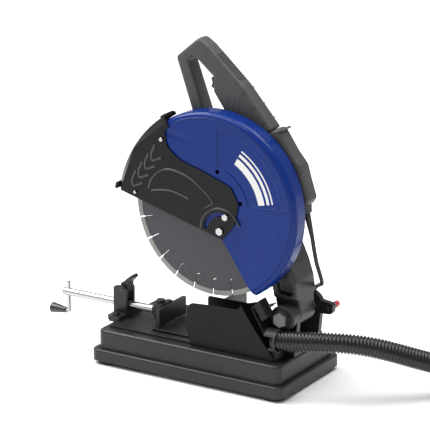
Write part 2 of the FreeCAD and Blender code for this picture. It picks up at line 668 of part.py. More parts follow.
def make_motor():
    """A universal motor: housing and end cap, stator, armature, commutator, brushes and fan."""
    wall = 3.0
    rear = motor_end + 26
    y = motor_y
    z = motor_z
    shell = rod_x(rear, housing_back, y, z, motor_radius)
    shell = shell.cut(rod_x(rear - 1, housing_back - 6, y, z, motor_radius - wall))
    shell = shell.cut(rod_x(rear - 1, housing_back + 1, y, z, 13.0))
    slots = []
    for i in range(16):
        vent = block(rear + 8, rear + 24, -1.8, 1.8, motor_radius - 8, motor_radius + 5)
        vent.translate(V(0, y, z))
        vent.rotate(V(0, y, z), V(1, 0, 0), 22.5 * i)
        slots.append(vent)
    nodes["motor_housing"] = shell.cut(Part.makeCompound(slots))
    cap = rod_x(motor_end, rear, y, z, motor_radius)
    cap = soften(cap, 10.0, lambda e: e.Closed and e.BoundBox.XMax < motor_end + 1)
    cap = cap.cut(rod_x(motor_end + 4, rear + 1, y, z, motor_radius - wall - 5))
    nodes["motor_end_cap"] = cap.fuse(ring_x(motor_end + 3, motor_end + 12, y, z, 14.0, 11.0))
    bearings = [ring_x(motor_end + 4.5, motor_end + 11.5, y, z, 11.0, 4.0 + running),
                ring_x(housing_back - 4, housing_back + 6, y, z, 13.0, 6.0 + running)]
    nodes["motor_bearings"] = Part.makeCompound(bearings)
    nodes["stator"] = ring_x(motor_end + 48, motor_end + 96, y, z, motor_radius - wall, 31.0)
    shaft = rod_x(motor_end + 5, motor_end + 13, y, z, 4.0)
    shaft = shaft.fuse(rod_x(motor_end + 13, wheel_x1 - 0.5, y, z, 6.0))
    nodes["armature"] = shaft.fuse(rod_x(motor_end + 46, motor_end + 98, y, z, 30.0))
    nodes["commutator"] = ring_x(motor_end + 18, motor_end + 38, y, z, 16.0, 6.0)
    nodes["motor_pinion"] = gear(pinion_teeth, wheel_x0, wheel_x1, y, z, 6.0,
                                 gear_angle + 180 + 180 / pinion_teeth)
    hub = ring_x(motor_end + 101, motor_end + 111, y, z, 14.0, 6.0)
    for i in range(9):
        vane = block(motor_end + 103, motor_end + 111, -1.2, 1.2, 12.0, 44.0)
        vane.translate(V(0, y, z))
        vane.rotate(V(0, y, z), V(1, 0, 0), 40 * i)
        hub = hub.fuse(vane)
    nodes["cooling_fan"] = hub.removeSplitter()
    brushes = []
    for side in (-1, 1):
        brush = block(motor_end + 23, motor_end + 33, -4, 4, 16.5, 42.0)
        brush.translate(V(0, y, z))
        brush.rotate(V(0, y, z), V(1, 0, 0), 90 * side)
        brushes.append(brush)
    nodes["carbon_brushes"] = Part.makeCompound(brushes)


# ---- guards -------------------------------------------------------------------------------
def make_blade_guard():
    """The pressed upper guard: a dished face and rim, with a flat back plate."""
    low = -57.5
    full = rod_x(guard_back, guard_face, blade_y, guard_z, guard_radius)
    full = soften(full, guard_rounding, lambda e: e.Closed and e.BoundBox.XMin > guard_face - 1)
    inside = rod_x(guard_back - 1, guard_face - guard_wall, blade_y, guard_z, guard_radius - guard_wall)
    inside = soften(inside, guard_rounding - 2, lambda e: e.Closed and e.BoundBox.XMin > guard_face - 4)
    shell = full.cut(inside)
    tip_y = blade_y + guard_radius * math.cos(math.radians(low))
    tip_z = guard_z + guard_radius * math.sin(math.radians(low))
    far_away = 2 * guard_radius
    cut = [(swing_y + 2, swing_z - 18), (swing_y + 20, swing_z - 43, 60), (swing_y + 60, swing_z - 104, 60),
           (tip_y, tip_z), (tip_y + 60, tip_z - 60), (tip_y, guard_z - far_away),
           (blade_y - far_away, guard_z - far_away), (blade_y - far_away, guard_z + 125),
           (blade_y - 150, guard_z + 112), (blade_y - 50, guard_z - 2, 30), (swing_y - 30, swing_z - 10, 20)]
    shell = shell.cut(plate(cut, guard_back - 5, guard_face + 5))
    back = rod_x(housing_face, guard_back, blade_y, guard_z, guard_radius)
    back = back.cut(plate(cut, housing_face - 5, guard_face + 5))
    back = back.cut(rod_x(housing_face - 1, guard_back + 1, blade_y, blade_z, 22.0))
    for y, z in ((blade_y + 18, guard_z + 76), (blade_y + 69.5, guard_z + 20.5)):
        shell = shell.cut(rod_x(guard_face - 8, guard_face + 1, y, z, 4.6))
    for y, z in ((swing_y, swing_z), (swing_y + 12.4, swing_z + 30.1)):
        shell = shell.cut(rod_x(guard_face - 8, guard_face + 1, y, z, 3.5))
    nodes["blade_guard"] = shell
    nodes["guard_back_plate"] = back
    bolts = []
    for angle in (40, 120, 205, 320):
        y = blade_y + 40 * math.cos(math.radians(angle))
        z = blade_z + 40 * math.sin(math.radians(angle))
        nodes["guard_back_plate"] = nodes["guard_back_plate"].cut(rod_x(0, 100, y, z, 3.0))
        shank = rod_x(housing_face - 5, guard_back, y, z, 3.0)
        bolts.append(shank.fuse(rod_x(guard_back, guard_back + 3, y, z, 5.5)))
        nodes["gear_housing"] = nodes["gear_housing"].cut(shank)
    nodes["guard_bolts"] = Part.makeCompound(bolts)


def make_front_guard():
    """The swinging front guard, hung on a bolt in the upper guard's face."""
    x0 = guard_face + 1.2
    x1 = x0 + 2.0
    start = 121.5
    end = 168.3
    mid = math.radians((start + end) / 2)

    def at(angle, radius):
        return (swing_y + radius * math.cos(math.radians(angle)),
                swing_z + radius * math.sin(math.radians(angle)))

    inner = swing_radius - 14
    top = at(start, inner)
    corner = at(end, inner)
    edge = [(-126, 183, 30), (-122, 152, 24), (-94, 129, 60), (-34, 111, 60), (24, 90, 22), (40, 58, 22),
            (31, 16, 24), (4, -17, 3)]
    face = plate([top] + [(swing_y + y, swing_z + z, radius) for y, z, radius in edge]
                 + [corner, at(math.degrees(mid), 1.03 * inner)], x0, x1)
    rim_back = guard_back - 4
    slope = 17.0
    profile = [(swing_radius - 26, x0), (swing_radius - 17, x0), (swing_radius - 2.2, x0 - slope),
               (swing_radius - 2.2, rim_back + 2), (swing_radius - 7, rim_back + 2),
               (swing_radius - 7, rim_back),
               (swing_radius, rim_back), (swing_radius, x0 - slope), (swing_radius - 15.5, x1),
               (swing_radius - 26, x1)]
    corners = [V(x, swing_y + r, swing_z) for r, x in profile]
    rim = Part.Face(Part.makePolygon(corners + corners[:1])).revolve(V(0, swing_y, swing_z), V(1, 0, 0),
                                                                     end - start)
    rim.rotate(V(0, swing_y, swing_z), V(1, 0, 0), start)
    guard = face.fuse(rim).removeSplitter()
    slot_radius = 32.6
    slot = sector(slot_radius - 4.5, slot_radius + 4.5, x0 - 1, x1 + 1, swing_y, swing_z, 64.0, 170.0)
    for angle in (64.0, 170.0):
        slot = slot.fuse(rod_x(x0 - 1, x1 + 1, *at(angle, slot_radius), 4.5))
    guard = guard.cut(slot).cut(rod_x(x0 - 1, x1 + 1, swing_y, swing_z, 3.6))
    nodes["front_guard"] = guard
    y, z = at(67.6, slot_radius)
    bolts = []
    for by, bz, across in ((swing_y, swing_z, 14.0), (y, z, 12.0)):
        shank = rod_x(guard_face - 7, x1 + 0.6, by, bz, 3.4)
        bolts.append(shank.fuse(hexagon(V(x1 + 0.6, by, bz), V(1, 0, 0), across, 5.0)))
    nodes["front_guard_bolts"] = Part.makeCompound(bolts)
    y, z = at(end - 2.4, swing_radius - 48)
    rivet = rod_x(x0 - 0.3, x1 + 1.6, y, z, 3.6)
    y, z = at(129.0, swing_radius - 37)
    second = rod_x(x0 - 0.3, x1 + 2.2, y, z, 4.4)
    nodes["front_guard"] = nodes["front_guard"].fuse([rivet, second]).removeSplitter()


# ---- arm ----------------------------------------------------------------------------------
def make_arm():
    """The cast arm from the hinge up to the gear housing, recessed on its near side."""
    near = 36.0
    far = -40.0
    low_radius = 25.0
    shape = [(pivot_y - 25, pivot_z + 4), (pivot_y - 30, 165, 8), (pivot_y - 33, 190, 20),
             (pivot_y - 39, 222, 30),
             (120, 290, 40), (60, 300, 20), (60, 385, 10), (100, 385, 20), (150, 345, 30), (171, 290, 20),
             (pivot_y + 3, 250, 30), (pivot_y + 14, 218, 12), (pivot_y + 20, 180, 12),
             (pivot_y + 24, pivot_z + 4)]
    body = plate(shape, far, near)
    body = body.cut(block(hub_near, near + 1, pivot_y - 60, pivot_y + 60, 0, pivot_z + ear_radius + 6))
    body = body.cut(block(far - 1, hub_far, pivot_y - 60, pivot_y + 60, 0, pivot_z + ear_radius + 8))
    hub = rod_x(hub_far, hub_near, pivot_y, pivot_z, low_radius)
    body = body.fuse(hub).removeSplitter()
    pocket = plate([(pivot_y - 22, 192, 8), (pivot_y - 27, 222, 20), (138, 262, 20), (158, 262, 14),
                    (pivot_y - 4, 232, 10), (pivot_y + 9, 208, 6),
                    (pivot_y + 10, 190, 6)], near - 12, near + 1)
    body = body.cut(pocket)
    body = body.cut(rod_x(hub_far - 1, hub_near + 1, pivot_y, pivot_z, pivot_bolt_radius + 4))
    body = body.cut(block(housing_back, 200, 0, 119, 200, 500)).cut(block(far - 1, far + 10, 0, 75, 200, 500))
    body = body.cut(nodes["gear_housing"])
    body = body.cut(rod_x(motor_end, housing_back, motor_y, motor_z, motor_radius))
    nodes["arm_casting"] = body
    bushes = []
    for x0, x1 in ((hub_far, hub_far + 18), (hub_near - 18, hub_near)):
        bushes.append(ring_x(x0, x1, pivot_y, pivot_z, pivot_bolt_radius + 4, pivot_bolt_radius + running))
    nodes["arm_bushes"] = Part.makeCompound(bushes)
    bolt_places = ((80.0, 305.0), (88.0, 372.0))
    head_seat = -16.0
    bolts = []
    for y, z in bolt_places:
        shank = rod_x(head_seat, housing_back + 12, y, z, bolt_radius)
        bolts.append(shank.fuse(hexagon(V(head_seat - bolt_head, y, z), V(1, 0, 0), bolt_across, bolt_head)))
    spaces = Part.makeCompound([rod_x(far - 1, head_seat, y, z, bolt_across / 2 + 2.5)
                                 for y, z in bolt_places])
    nodes["arm_casting"] = nodes["arm_casting"].cut(Part.makeCompound(bolts)).cut(spaces)
    nodes["gear_housing"] = nodes["gear_housing"].cut(Part.makeCompound(bolts))
    nodes["arm_bolts"] = Part.makeCompound(bolts)


# ---- handle -------------------------------------------------------------------------------
def make_handle():
    """A moulded D handle in two halves, with the trigger, lock button, collars and cord gland."""
    x0 = handle_x - handle_width / 2
    x1 = handle_x + handle_width / 2
    wall = 3.0
    body = plate([(-16, 675, 7), (5, 662, 14), (84, 592, 20), (150, 516), (119, 495), (-19, 495),
                  (-67, 632, 6)], x0, x1)
    rim = 7.0
    body = soften(body, rim, lambda e: e.BoundBox.XLength < 0.01 and (e.BoundBox.ZMin > 495.5
                                                                      or e.BoundBox.DiagonalLength > 150)
                  and not (e.BoundBox.YMax < 151 and e.BoundBox.YMin > 118 and e.BoundBox.ZMax < 517))
    hole = plate([(-26, 640, 5), (-39, 629, 4), (-3, 532, 5), (2, 518, 5), (40, 518, 8), (45, 537, 6),
                  (19, 574, 3), (20, 602, 4)], x0 - 1, x1 + 1)
    body = body.cut(hole)
    grip_pocket = plate([(35, 606), (15, 606), (15, 573), (38, 570)], handle_x - 11, handle_x + 11)
    body = body.cut(grip_pocket)
    button_y = 46.0
    button_z = 592.0
    body = body.cut(rod_x(x0 - 1, x0 + 12, button_y, button_z, 6.0 + clearance))
    near = body.cut(block(x0 - 2, handle_x, -100, 200, 400, 700))
    far = body.cut(block(handle_x, x1 + 2, -100, 200, 400, 700))
    places = ((-8, 655), (52, 575), (108, 530), (-40, 600), (10, 506), (100, 506))
    screws = []
    for y, z in places:
        screw = rod_x(x0 + wall, handle_x + 12, y, z, 2.0)
        screws.append(screw.fuse(rod_x(x0 + wall - 2, x0 + wall, y, z, 4.0)))
        far = far.cut(rod_x(x0 - 1, x0 + wall, y, z, 4.0))
    nodes["handle_screws"] = Part.makeCompound(screws)
    nodes["handle_near_shell"] = near.cut(nodes["handle_screws"])
    nodes["handle_far_shell"] = far.cut(nodes["handle_screws"])
    trigger = plate([(30, 603, 3), (18, 603.5, 3), (9, 598, 3), (12, 589, 4), (9, 580, 3), (18, 577, 2),
                     (29, 580, 4)],
                    handle_x - 10, handle_x + 10)
    pin_y = 26.0
    pin_z = 600.5
    pin_radius = 1.8
    trigger_pin = rod_x(handle_x - 14, handle_x + 14, pin_y, pin_z, pin_radius)
    nodes["trigger"] = trigger.cut(rod_x(0, 60, pin_y, pin_z, pin_radius + running))
    nodes["trigger_pin"] = trigger_pin
    for half in ("handle_near_shell", "handle_far_shell"):
        nodes[half] = nodes[half].cut(trigger_pin)
    button = rod_x(x0 - 3, x0 + 7, button_y, button_z, 6.0)
    nodes["lock_button"] = soften(button, 1.2, lambda e: e.Closed and e.BoundBox.XMax < x0)
    lower = plate([(151.5, 516), (162, 519, 3), (193, 474, 8), (212, 452, 8), (220, 424, 10), (232, 388, 4),
                   (224, 375, 4), (198, 372, 6), (180, 400), (160, 440), (119.8, 494.2)], x0 + 1, x1 - 1)
    lower = soften(lower, 6.0, lambda e: e.BoundBox.XLength < 0.01 and e.BoundBox.YMin > 121)
    nodes["lower_shell"] = lower.cut(block(-50, 100, 0, 119, 300, 600))
    ties = []
    for y, z in ((112.0, 470.0), (112.0, 420.0)):
        ties.append(rod_y(handle_x, y - 4, y + 50, z, 6.0))
    links = Part.makeCompound(ties)
    nodes["lower_shell_studs"] = links
    nodes["gear_housing"] = nodes["gear_housing"].cut(links)
    nodes["lower_shell"] = nodes["lower_shell"].cut(links)
    nodes["vent_rings"] = vent_rings(x0, x1)
    nodes["lower_shell"] = nodes["lower_shell"].cut(nodes["vent_rings"])
    down = V(0, 0.25, -0.968)
    relief_length = 48.0
    gland_place = V(handle_x, 213, 374)
    gland = Part.makeCone(13.0, 10.0, 16.0, gland_place, down)
    gland = gland.cut(nodes["lower_shell"])
    start = gland_place + down * 15.9
    nodes["cord_gland"] = gland
    relief = Part.makeCone(6.5, cord_radius, relief_length, start, down)
    nodes["strain_relief"] = relief.cut(gland)
    return start + down * relief_length


def vent_rings(x0, x1):
    """Three thin bright bands let into the back of the lower shell."""
    rings = []
    for y, z in ((197.0, 461.0), (210.0, 438.0), (216.5, 412.0)):
        band = block(x0 + 3, x1 - 3, -6, 6, -1.4, 1.4)
        band.rotate(V(0, 0, 0), V(1, 0, 0), -24)
        band.translate(V(0, y, z))
        rings.append(band)
    return Part.makeCompound(rings)


# ---- extraction hose ----------------------------------------------------------------------
def make_hose():
    """The ribbed hose: a free stretch that sinks to the floor, one turn of coil and its cuff."""
    points = [(port_x, port_y, port_z), (70, 213, 112), (63.5, 249, 116), (51, 285, 118), (32, 321, 116.5),
              (8, 355, 109), (-18, 386, 97), (-44, 416, 83), (-72, 445, 69), (-102, 473, 54), (-134, 500, 40),
              (-168, 526, 29), (-204, 551, 22.5), (-240, 574, hose_radius + 0.5)]
    nodes["hose_tube"] = tube_along("hose", points, hose_radius)
    turn_radius = 222.0
    turn_drop = 46.0             # the turn winds inwards by this much
    heading = V(points[-1][0] - points[-2][0], points[-1][1] - points[-2][1], 0).normalize()
    right = V(heading.y, -heading.x, 0)
    centre = V(*points[-1]) + right * turn_radius
    print("hose coil centre", round(centre.x, 2), round(centre.y, 2))
    ring = Part.makeCylinder(turn_radius + hose_radius + 1, 2 * hose_radius + 0.5, V(centre.x, centre.y, 0.2))
    ring = ring.cut(Part.makeCylinder(turn_radius - turn_drop - hose_radius - 1, 60,
                                      V(centre.x, centre.y, -1)))
    nodes["hose_coil"] = soften(ring, 14.0, lambda e: e.Closed)
    turned = math.radians(372.0)
    inner_radius = turn_radius - turn_drop
    entry = -right
    cuff_at = centre + (entry * math.cos(turned) + heading * math.sin(turned)) * inner_radius
    along = (heading * math.cos(turned) - entry * math.sin(turned)).normalize()
    cuff_at.z = hose_radius + 3.5
    cuff = Part.makeCylinder(hose_radius + 3, 70.0, cuff_at, along)
    cuff = cuff.cut(Part.makeCylinder(hose_radius - 4, 75.0, cuff_at + along * 15, along))
    nodes["hose_cuff"] = cuff
    print("hose cuff at", [round(c, 2) for c in cuff_at], "along", [round(c, 4) for c in along])


# ---- power cord ---------------------------------------------------------------------------
def make_cord(start):
    """The power cord: down behind the arm, over the far side of the base and into a coil."""
    upper = [tuple(start), (18, 236, 268), (9, 240, 240), (-10, 236, 215), (-34, 222, 200), (-56, 204, 190),
             (-72, 188, 179)]
    lower = [(-76.5, 183, 173.5), (-83, 172, 158), (-93, 156, 138), (-104, 140, 116), (-117, 125, 93),
             (-130, 111, 68), (-141, 96, 42), (-150, 78, 20), (-156, 54, 6.5), (-160, 28, cord_radius + 0.2),
             (-161, 4, cord_radius + 0.2)]
    nodes["cord_upper"] = tube_along("cord upper", upper, cord_radius)
    nodes["cord_lower"] = tube_along("cord lower", lower, cord_radius)
    middle = 44.0
    centre = V(-161 - middle, 4, 0)
    spread = 12.5                # three turns side by side and three high
    ring = Part.makeCylinder(middle + spread, 24.0, V(centre.x, centre.y, 0.1))
    ring = ring.cut(Part.makeCylinder(middle - spread, 30, V(centre.x, centre.y, -1)))
    nodes["cord_coil"] = soften(ring, 7.0, lambda e: e.Closed)
    plug_y = centre.y - middle - spread - 24
    plug_z = 18.7
    body_length = 34.0
    face_x = centre.x - 10 - body_length
    body = Part.makeCone(11.0, 18.5, body_length, V(centre.x - 10, plug_y, plug_z), V(-1, 0, 0))
    body = body.fuse(Part.makeCone(4.5, 8.0, 26.0, V(centre.x + 15.5, plug_y, plug_z), V(-1, 0, 0)))
    nodes["plug_body"] = body.removeSplitter()
    pins = []
    for side in (-9.5, 9.5):
        pins.append(rod_x(face_x - 19, face_x, plug_y + side, plug_z, 2.4))
    nodes["plug_pins"] = Part.makeCompound(pins)


make_base()
make_bed()
make_hood()
make_hinge()
make_vise_block()
make_vise_screw()
make_blade()
make_spindle()
make_gear_housing()
make_motor()
make_blade_guard()
make_front_guard()
make_arm()
cord_start = make_handle()
make_hose()
make_cord(cord_start)

# ---- pieces that share a node, as groups of separate solids ---------------------------------
groups = {
    "base_fasteners": ("foot_screws", "fence_bolts", "hood_screws", "bracket_bolts", "vise_block_bolts",
                       "stop_bolt", "stop_nut", "hinge_nut", "hinge_washers", "lever_pin"),
    "arm_fasteners": ("guard_bolts", "arm_bolts", "handle_screws", "trigger_pin", "lower_shell_studs"),
    "ball_bearings": ("spindle_bearings", "motor_bearings"),
    "blade_flanges": ("inner_flange", "outer_flange"),
    "motor_armature": ("armature", "commutator"),
    "jaw_carrier": ("jaw_carrier", "jaw_pin"),
    "plug": ("plug_body", "plug_pins"),
}
for group, members in groups.items():
    solids = []
    for member in members:
        solids += nodes.pop(member).Solids
    nodes[group] = Part.makeCompound(solids)

# ---- the origin is at the bottom middle of the saw without its hose and cord --------------
own_box = FreeCAD.BoundBox()
for name, shape in nodes.items():
    if name not in cord_nodes:
        own_box.add(shape.optimalBoundingBox())
shift = V(-own_box.Center.x, -own_box.Center.y, -own_box.ZMin)
print("shift", [round(c, 3) for c in shift], "own size", round(own_box.XLength, 2),
      round(own_box.YLength, 2), round(own_box.ZLength, 2))
for name, shape in nodes.items():
    shape.translate(shift)
    solids = shape.Solids
    print(f"{name:22s} solids {len(solids):3d} volume {shape.Volume / 1000:9.1f} valid {shape.isValid()}")
    kept = solids[0] if len(solids) == 1 else Part.makeCompound(solids)
    kept.exportStep(f"parts/{name}.step")
print(len(nodes), "nodes")
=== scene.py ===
import json
import math

import bpy
import bmesh
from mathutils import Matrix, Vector


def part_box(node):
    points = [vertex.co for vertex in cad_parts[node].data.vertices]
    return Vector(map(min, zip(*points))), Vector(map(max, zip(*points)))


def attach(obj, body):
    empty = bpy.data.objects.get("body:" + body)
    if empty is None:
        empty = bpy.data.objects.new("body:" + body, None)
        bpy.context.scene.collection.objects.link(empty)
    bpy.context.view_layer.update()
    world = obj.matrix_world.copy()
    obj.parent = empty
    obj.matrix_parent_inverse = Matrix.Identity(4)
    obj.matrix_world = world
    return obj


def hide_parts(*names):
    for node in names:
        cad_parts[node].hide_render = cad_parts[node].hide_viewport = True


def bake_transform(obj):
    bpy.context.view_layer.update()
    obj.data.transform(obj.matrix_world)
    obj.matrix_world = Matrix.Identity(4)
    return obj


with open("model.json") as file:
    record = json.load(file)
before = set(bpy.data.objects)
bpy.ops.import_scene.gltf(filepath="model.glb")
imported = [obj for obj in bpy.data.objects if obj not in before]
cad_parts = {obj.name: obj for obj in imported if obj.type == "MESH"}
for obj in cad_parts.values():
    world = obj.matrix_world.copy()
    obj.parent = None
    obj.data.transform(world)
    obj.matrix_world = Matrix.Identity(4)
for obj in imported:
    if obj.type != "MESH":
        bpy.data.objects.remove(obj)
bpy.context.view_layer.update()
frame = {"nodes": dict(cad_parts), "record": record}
cad = frame["nodes"]

# ---- The room ------------------------------------------------------------------------------
# A pale floor that runs away on every side, a long lens at the operator's rear right, a wide
# soft sun from above and two broad lamps that draw the edges.
low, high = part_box("base_casting")
home = Vector(((low.x + high.x) / 2, (low.y + high.y) / 2, 0))


def at(x, y, z):
    """Millimetres from the floor under the base's middle, as a place in the frame."""
    return home + Vector((x, y, z)) / 1000


back = Vector((0.8146, 0.4993, 0.2951)).normalized()
target = at(0, 0, 313.8)
lens = bpy.data.cameras.new("camera")
lens.sensor_width = 36.0
lens.lens = 209.3
lens.clip_end = 60.0
camera = bpy.data.objects.new("camera", lens)
bpy.context.scene.collection.objects.link(camera)
camera.location = target + back * 4.8976
camera.rotation_euler = back.to_track_quat("Z", "Y").to_euler()
bpy.context.scene.camera = camera


def lamp(name, place, size, watts, tint=(1, 1, 1)):
    light = bpy.data.lights.new(name, "AREA")
    light.shape = "RECTANGLE"
    light.size = size[0]
    light.size_y = size[1]
    light.energy = watts
    light.color = tint
    holder = bpy.data.objects.new(name, light)
    bpy.context.scene.collection.objects.link(holder)
    holder.location = place
    holder.rotation_euler = (place - at(0, 0, 250)).to_track_quat("Z", "Y").to_euler()


lamp("key_lamp", at(300, -1700, 2200), (1.2, 1.2), 34)
lamp("top_lamp", at(-700, 700, 2600), (1.6, 1.2), 40)
sun = bpy.data.lights.new("soft_sun", "SUN")
sun.energy = 2.3
sun.angle = math.radians(60)
sun_holder = bpy.data.objects.new("soft_sun", sun)
bpy.context.scene.collection.objects.link(sun_holder)
sun_holder.rotation_euler = Vector((0.35, -0.45, 1.0)).to_track_quat("Z", "Y").to_euler()
world = bpy.data.worlds.new("studio")
bpy.context.scene.world = world
world.use_nodes = True
world.node_tree.nodes["Background"].inputs["Color"].default_value = (1, 1, 1, 1)
world.node_tree.nodes["Background"].inputs["Strength"].default_value = 0.42
bpy.context.scene.view_settings.view_transform = "Standard"


# Every finish below is made by this pair: a wrapped socket does arithmetic by adding Math
# nodes, and a Finish holds one material, its shader, and the one method that adds a node.
class Flow:
    def __init__(self, finish, socket):
        self.finish = finish
        self.socket = socket

    def maths(self, operation, first, second=0.0):
        return self.finish.add("ShaderNodeMath", {"operation": operation}, {0: first, 1: second})

    def __add__(self, other):
        return self.maths("ADD", self, other)

    def __radd__(self, other):
        return self.maths("ADD", other, self)

    def __sub__(self, other):
        return self.maths("SUBTRACT", self, other)

    def __rsub__(self, other):
        return self.maths("SUBTRACT", other, self)

    def __mul__(self, other):
        return self.maths("MULTIPLY", self, other)

    def __rmul__(self, other):
        return self.maths("MULTIPLY", other, self)

    def __pow__(self, other):
        return self.maths("POWER", self, other)

    def above(self, level):
        return self.maths("GREATER_THAN", self, level)


class Finish:
    def __init__(self, name, rough=0.5, metal=0.0, coat=0.0, coat_rough=0.1, specular=0.5):
        self.material = bpy.data.materials.new(name)
        self.material.use_nodes = True
        self.tree = self.material.node_tree
        self.shader = self.tree.nodes["Principled BSDF"]
        self.shader.inputs["Roughness"].default_value = rough
        self.shader.inputs["Metallic"].default_value = metal
        self.shader.inputs["Coat Weight"].default_value = coat
        self.shader.inputs["Coat Roughness"].default_value = coat_rough
        self.shader.inputs["Specular IOR Level"].default_value = specular

    def add(self, kind, settings=None, sockets=None, out=0):
        node = self.tree.nodes.new(kind)
        for key, value in (settings or {}).items():
            if key == "stops":
                ramp = node.color_ramp
                while len(ramp.elements) < len(value):
                    ramp.elements.new(0.5)
                for element, (place, colour) in zip(ramp.elements, value):
                    element.position = place
                    element.color = (*colour, 1)
            else:
                setattr(node, key, value)
        for key, value in (sockets or {}).items():
            if isinstance(value, Flow):
                self.tree.links.new(value.socket, node.inputs[key])
            else:
                node.inputs[key].default_value = value
        return Flow(self, node.outputs[out])

    def feed(self, **sockets):
        for key, value in sockets.items():
            self.tree.links.new(value.socket, self.shader.inputs[key.replace("_", " ")])
        return self

    def place(self, centre=(0, 0, 0), scale=(1, 1, 1)):
        """Object coordinates, counted from a centre and stretched."""
        spot = self.add("ShaderNodeTexCoord", out=3)
        moved = [-c * s for c, s in zip(centre, scale)]
        return self.add("ShaderNodeMapping", {}, {"Vector": spot, "Location": moved, "Scale": scale})

    def noise(self, scale, detail=2.0, spot=None):
        spot = spot or self.place()
        return self.add("ShaderNodeTexNoise", {}, {"Vector": spot, "Scale": scale, "Detail": detail})

    def blend(self, mask, first, second):
        node = self.tree.nodes.new("ShaderNodeMix")
        node.data_type = "RGBA"
        for index, value in ((0, mask), (6, first), (7, second)):
            if isinstance(value, Flow):
                self.tree.links.new(value.socket, node.inputs[index])
            else:
                node.inputs[index].default_value = (*value, 1) if index else value
        return Flow(self, node.outputs[2])

    def bump(self, height, depth, strength=0.5):
        """A Bump node whose relief is depth metres high."""
        relief = self.add("ShaderNodeBump", {}, {"Strength": strength, "Distance": depth, "Height": height})
        return self.feed(Normal=relief)

    def onto(self, *pieces):
        for piece in pieces:
            target_piece = cad[piece] if isinstance(piece, str) else piece
            target_piece.data.materials.clear()
            target_piece.data.materials.append(self.material)


paper = Finish("paper_floor", rough=0.9, specular=0.1)
paper.feed(Base_Color=paper.blend(paper.noise(3.0) * 0.2, (0.93, 0.93, 0.93), (0.91, 0.91, 0.92)))
bpy.ops.object.select_all(action="DESELECT")
bpy.ops.mesh.primitive_plane_add(size=40.0, location=(0, 0, 0))
floor = bpy.context.active_object
floor.name = "floor"
floor.data.materials.append(paper.material)

# ---- Extraction hose -----------------------------------------------------------------------
# A ribbed polyethylene hose of 40 mm bore that is blown over a corrugated mould.  It leaves
# the hood's port, sinks to the floor, lies in one wide turn and ends in a push-on cuff.
hose_radius = 0.020
hose_rib = 0.0068
hose_route = [(72, 178, 109), (70, 213, 112), (63.5, 249, 116), (51, 285, 118), (32, 321, 116.5),
              (8, 355, 109), (-18, 386, 97), (-44, 416, 83), (-72, 445, 69), (-102, 473, 54),
              (-134, 500, 40), (-168, 526, 29), (-204, 551, 22.5), (-240, 574, 20.5)]


def line_points(name, places, per_span):
    """The points of a smooth NURBS line through the frame, with places as its control points."""
    curve = bpy.data.curves.new(name, "CURVE")
    curve.dimensions = "3D"
    curve.resolution_u = per_span
    spline = curve.splines.new("NURBS")
    spline.points.add(len(places) - 1)
    for point, place in zip(spline.points, places):
        point.co = (*place, 1)
    spline.order_u = 3
    spline.use_endpoint_u = True
    holder = bpy.data.objects.new(name, curve)
    bpy.context.scene.collection.objects.link(holder)
    bpy.context.view_layer.update()
    mesh = bpy.data.meshes.new_from_object(holder)
    found = [v.co.copy() for v in mesh.vertices]
    bpy.data.objects.remove(holder)
    bpy.data.meshes.remove(mesh)
    bpy.data.curves.remove(curve)
    return found


def spaced(points, step):
    """The same line with its points step metres apart."""
    kept = [points[0]]
    carried = 0.0
    for before, after in zip(points, points[1:]):
        run = (after - before).length
        while carried + run >= step:
            share = (step - carried) / run
            before = before.lerp(after, share)
            kept.append(before)
            run = (after - before).length
            carried = 0.0
        carried += run
    return kept


def length_of(points):
    return sum((b - a).length for a, b in zip(points, points[1:]))


def tube(name, points, radius_at, around):
    """A closed mesh tube along points; radius_at(i) is its radius at point i."""
    body = bmesh.new()
    side = Vector((0, 0, 1)).cross(points[1] - points[0]).normalized()
    rings = []
    for i, point in enumerate(points):
        ahead = (points[min(i + 1, len(points) - 1)] - points[max(i - 1, 0)]).normalized()
        side = (side - ahead * side.dot(ahead)).normalized()
        up = ahead.cross(side)
        radius = radius_at(i)
        ring = []
        for k in range(around):
            turn = 2 * math.pi * k / around
            ring.append(body.verts.new(point + (side * math.cos(turn) + up * math.sin(turn)) * radius))
        rings.append(ring)
    for first, second in zip(rings, rings[1:]):
        for k in range(around):
            n = (k + 1) % around
            body.faces.new((first[k], first[n], second[n], second[k]))
    body.faces.new(list(reversed(rings[0])))
    body.faces.new(rings[-1])
    bmesh.ops.recalc_face_normals(body, faces=body.faces)
    mesh = bpy.data.meshes.new(name)
    body.to_mesh(mesh)
    body.free()
    mesh.polygons.foreach_set("use_smooth", [True] * len(mesh.polygons))
    piece = bpy.data.objects.new(name, mesh)
    bpy.context.scene.collection.objects.link(piece)
    return piece


route = [at(*p) for p in hose_route]
heading = route[-1] - route[-2]
heading.z = 0
heading.normalize()
right = Vector((heading.y, -heading.x, 0))
turn_radius = 0.222
turn_drop = 0.046
whole_turn = math.radians(372)
coil_middle = route[-1] + right * turn_radius
hose_stretch = 1.012    # a smooth line runs a little inside its points
hose_lift = 0.0006
steps = 19
for i in range(1, steps + 1):
    turn = whole_turn * i / steps
    reach = (turn_radius - turn_drop * i / steps) * hose_stretch
    route.append(coil_middle + (heading * math.sin(turn) - right * math.cos(turn)) * reach)
    route[-1].z = hose_radius + hose_lift
hose_line = spaced(line_points("hose_line", route, 24), hose_rib / 4)
hose_length = length_of(hose_line)
hose_profile = (0.0, -0.0002, -0.0030, -0.0028)
hose = tube("extraction_hose", hose_line, lambda i: hose_radius + hose_profile[i % 4], 28)
ribbed = Finish("hose_plastic", rough=0.26, specular=0.45)
ribbed.feed(Base_Color=ribbed.blend(ribbed.noise(60.0), (0.006, 0.006, 0.0065), (0.013, 0.013, 0.0135)),
            Roughness=ribbed.noise(25.0) * 0.16 + 0.18)
ribbed.onto(hose)
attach(hose, "base")
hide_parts("hose_tube", "hose_coil")

